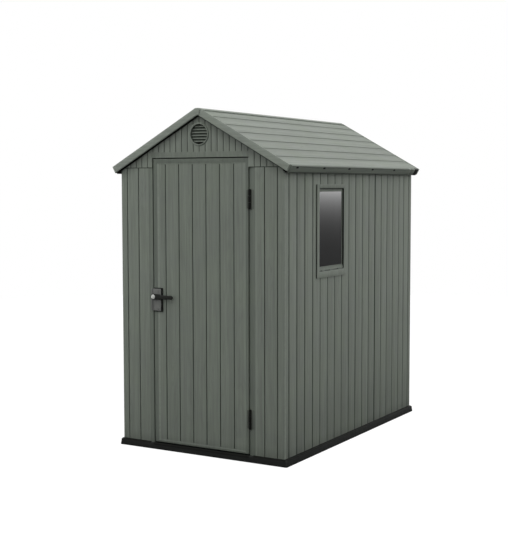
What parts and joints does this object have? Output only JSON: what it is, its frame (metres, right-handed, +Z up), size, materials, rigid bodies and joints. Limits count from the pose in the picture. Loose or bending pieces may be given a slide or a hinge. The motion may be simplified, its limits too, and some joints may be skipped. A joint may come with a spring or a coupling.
{
  "type": "plastic garden shed",
  "caption": "Gabled resin garden shed with plank-look walls, a hinged front door with a lever latch, a fixed side window and round gable vents.",
  "frame": {"origin": "centre of the floor base's underside, on the ground", "axes": "+Z up, the front wall with the door faces -Y, +X to the right when facing the front"},
  "size_m": [1.252, 1.845, 2.05],
  "materials": {
    "wall_resin": "matt grey-green resin with a brushed wood texture",
    "roof_resin": "matt grey-green resin, planks along the slope",
    "trim_resin": "matt grey-green resin",
    "base_resin": "black resin",
    "black_plastic": "satin black plastic",
    "grey_plastic": "dark grey plastic",
    "lock_metal": "satin nickel",
    "window_acrylic": "smooth clear acrylic"
  },
  "bodies": {
    "shed": {"floor_base": "base_resin", "front_panel_left": "wall_resin", "front_panel_right": "wall_resin", "front_gable": "wall_resin", "front_vent": "wall_resin", "back_panel_left": "wall_resin", "back_panel_middle": "wall_resin", "back_panel_right": "wall_resin", "back_gable": "wall_resin", "back_vent": "wall_resin", "left_wall_front": "wall_resin", "left_wall_middle": "wall_resin", "left_wall_rear": "wall_resin", "right_wall_front": "wall_resin", "right_wall_middle": "wall_resin", "right_wall_rear": "wall_resin", "window_frame": "wall_resin", "window_pane": "window_acrylic", "door_post_left": "wall_resin", "door_post_right": "wall_resin", "door_header": "wall_resin", "hinge_upper_fixed": "black_plastic", "hinge_lower_fixed": "black_plastic", "latch_keeper": "grey_plastic", "roof_left": "roof_resin", "roof_right": "roof_resin", "ridge_cap": "roof_resin", "rake_front_left": "trim_resin", "rake_front_right": "trim_resin", "rake_back_left": "trim_resin", "rake_back_right": "trim_resin", "eave_left": "trim_resin", "eave_right": "trim_resin"},
    "door": {"door_leaf": "wall_resin", "hinge_upper_moving": "black_plastic", "hinge_lower_moving": "black_plastic", "latch_plate": "grey_plastic"},
    "latch": {"latch_lever": "black_plastic", "lock_barrel": "lock_metal"}
  },
  "joints": [
    {"name": "door_swing", "type": "hinge", "parent": "shed", "child": "door", "pos_m": [0.342, -0.9, 0.886], "axis": [0, 0, 1], "range_deg": [0, 110]},
    {"name": "latch_turn", "type": "hinge", "parent": "door", "child": "latch", "pos_m": [-0.328, -0.912, 0.9316], "axis": [0, -1, 0], "range_deg": [0, 90]}
  ]
}
